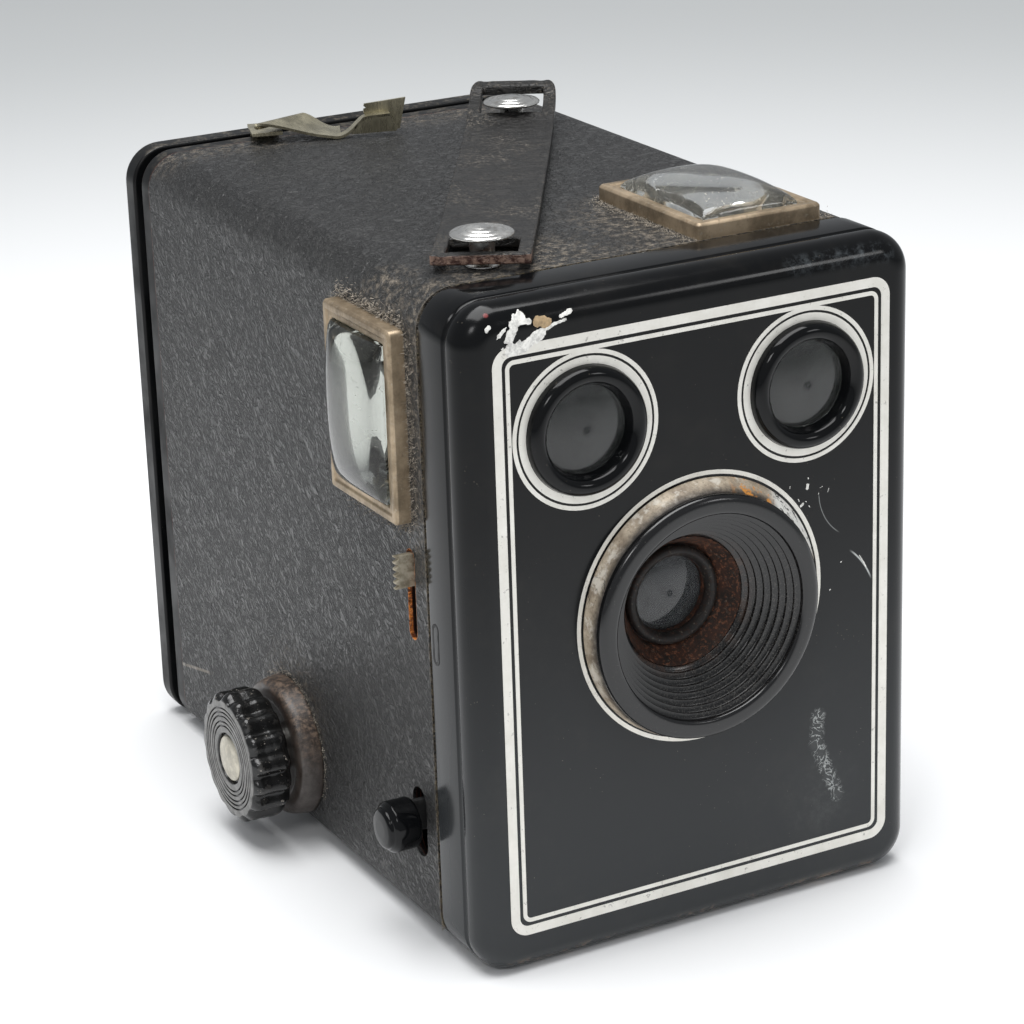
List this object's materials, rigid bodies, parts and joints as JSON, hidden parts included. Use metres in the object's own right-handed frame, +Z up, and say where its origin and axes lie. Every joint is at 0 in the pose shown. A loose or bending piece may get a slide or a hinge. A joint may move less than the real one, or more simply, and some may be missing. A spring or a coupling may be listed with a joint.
{
  "type": "box camera",
  "caption": "Upright box camera with ribbed lens hood, twin reflecting finders, leatherette body, diagonal strap, side winder and a bottom-hinged rear door.",
  "frame": {"origin": "centre of the base, on the plane the camera stands on, halfway between the front panel and the back", "axes": "+X to the right seen from the front, +Y from the front panel to the rear door, +Z up"},
  "size_m": [0.0888, 0.1268, 0.1097],
  "materials": {
    "black_enamel": "gloss, light dust and scuffs",
    "inner_black": "matt",
    "leatherette": "pebbled, dusty in the grain",
    "strap_leather": "smooth, creased, worn at the edges",
    "line_silver": "satin lines",
    "plated_beige": "satin, tarnished",
    "nickel": "satin, tarnished",
    "aluminium": "turned, satin",
    "hood_grey": "satin, dusty",
    "rusty_steel": "rust over black paint",
    "optical_glass": "polished, dusty",
    "ruby": "polished",
    "silver_mirror": "polished, spotted",
    "bright_steel": "satin",
    "black_knob": "gloss, worn",
    "brass_dull": "tarnished"
  },
  "bodies": {
    "housing": {"body_shell": "black_enamel", "wrap_covering": "leatherette", "base_covering": "leatherette", "front_plate": "black_enamel", "line_trim": "line_silver", "collar_ring": "plated_beige", "ribbed_hood": "hood_grey", "lens_annulus": "rusty_steel", "lens_ring": "bright_steel", "lens_glass": "optical_glass", "shutter_plate": "inner_black", "blade_pivot": "bright_steel", "lever_pivot": "bright_steel", "slide_guides": "inner_black", "finder_bezel_left": "black_enamel", "finder_bezel_right": "black_enamel", "finder_objective_left": "optical_glass", "finder_objective_right": "optical_glass", "side_finder_housing": "inner_black", "top_finder_housing": "inner_black", "side_finder_mirror": "silver_mirror", "top_finder_mirror": "silver_mirror", "side_window_frame": "plated_beige", "side_window_lens": "optical_glass", "top_window_frame": "plated_beige", "top_window_lens": "optical_glass", "handle_stud_front": "aluminium", "handle_stud_rear": "aluminium", "latch_foot": "nickel", "hinge_pin": "bright_steel", "winder_boss": "brass_dull", "carrier_frame": "inner_black", "light_cone": "inner_black", "roller_pins": "bright_steel", "spool_pins": "bright_steel"},
    "door": {"rear_door": "black_enamel", "door_covering": "leatherette", "window_ring": "nickel", "ruby_window": "ruby"},
    "latch": {"latch_clip": "nickel"},
    "strap": {"handle_strap": "strap_leather"},
    "blade": {"shutter_blade": "bright_steel"},
    "lever": {"shutter_lever": "bright_steel", "lever_knob": "bright_steel"},
    "time_tab": {"time_slide": "nickel"},
    "winder_carriage": {"winder_sleeve": "bright_steel"},
    "winder": {"winder_shaft": "bright_steel", "winder_knob": "black_knob", "winder_rivet": "bright_steel"},
    "take_up": {"take_up_spool": "black_enamel"},
    "roller_low": {"lower_roller": "bright_steel"},
    "roller_high": {"upper_roller": "bright_steel"}
  },
  "joints": [
    {"name": "door_hinge", "type": "hinge", "parent": "housing", "child": "door", "pos_m": [0, 0.0552, 0.0008], "axis": [-1, 0, 0], "range_deg": [0, 95]},
    {"name": "latch_flex", "type": "hinge", "parent": "housing", "child": "latch", "pos_m": [-0.01886, 0.05079, 0.1066], "axis": [-0.309, -0.9511, 0], "range_deg": [0, 9], "stiffness_Nm_per_rad": 0.4},
    {"name": "strap_shift", "type": "slide", "parent": "housing", "child": "strap", "axis": [-0.5234, -0.8521, 0], "range_m": [0, 0.0018]},
    {"name": "lever_swing", "type": "hinge", "parent": "housing", "child": "lever", "pos_m": [-0.016, -0.0417, 0.0215], "axis": [0, -1, 0], "range_deg": [0, 8.5], "stiffness_Nm_per_rad": 0.05},
    {"name": "blade_turn", "type": "hinge", "parent": "housing", "child": "blade", "pos_m": [0, -0.0503, 0.035], "axis": [0, 1, 0], "range_deg": [0, 49]},
    {"name": "time_shift", "type": "slide", "parent": "housing", "child": "time_tab", "axis": [0, 0, -1], "range_m": [0, 0.0066]},
    {"name": "winder_pull", "type": "slide", "parent": "housing", "child": "winder_carriage", "axis": [-1, 0, 0], "range_m": [0, 0.0055]},
    {"name": "winder_turn", "type": "hinge", "parent": "winder_carriage", "child": "winder", "pos_m": [-0.045, 0.0043, 0.0146], "axis": [-1, 0, 0], "continuous": true},
    {"name": "take_up_turn", "type": "hinge", "parent": "housing", "child": "take_up", "pos_m": [0, 0.0043, 0.0146], "axis": [-1, 0, 0], "continuous": true},
    {"name": "roller_low_turn", "type": "hinge", "parent": "housing", "child": "roller_low", "pos_m": [0, 0.0432, 0.0064], "axis": [-1, 0, 0], "continuous": true},
    {"name": "roller_high_turn", "type": "hinge", "parent": "housing", "child": "roller_high", "pos_m": [0, 0.0432, 0.0972], "axis": [-1, 0, 0], "continuous": true}
  ],
  "couplings": [
    {"joint": "blade_turn", "follows": "lever_swing", "ratio": 5.76},
    {"joint": "take_up_turn", "follows": "winder_turn", "ratio": 1}
  ]
}
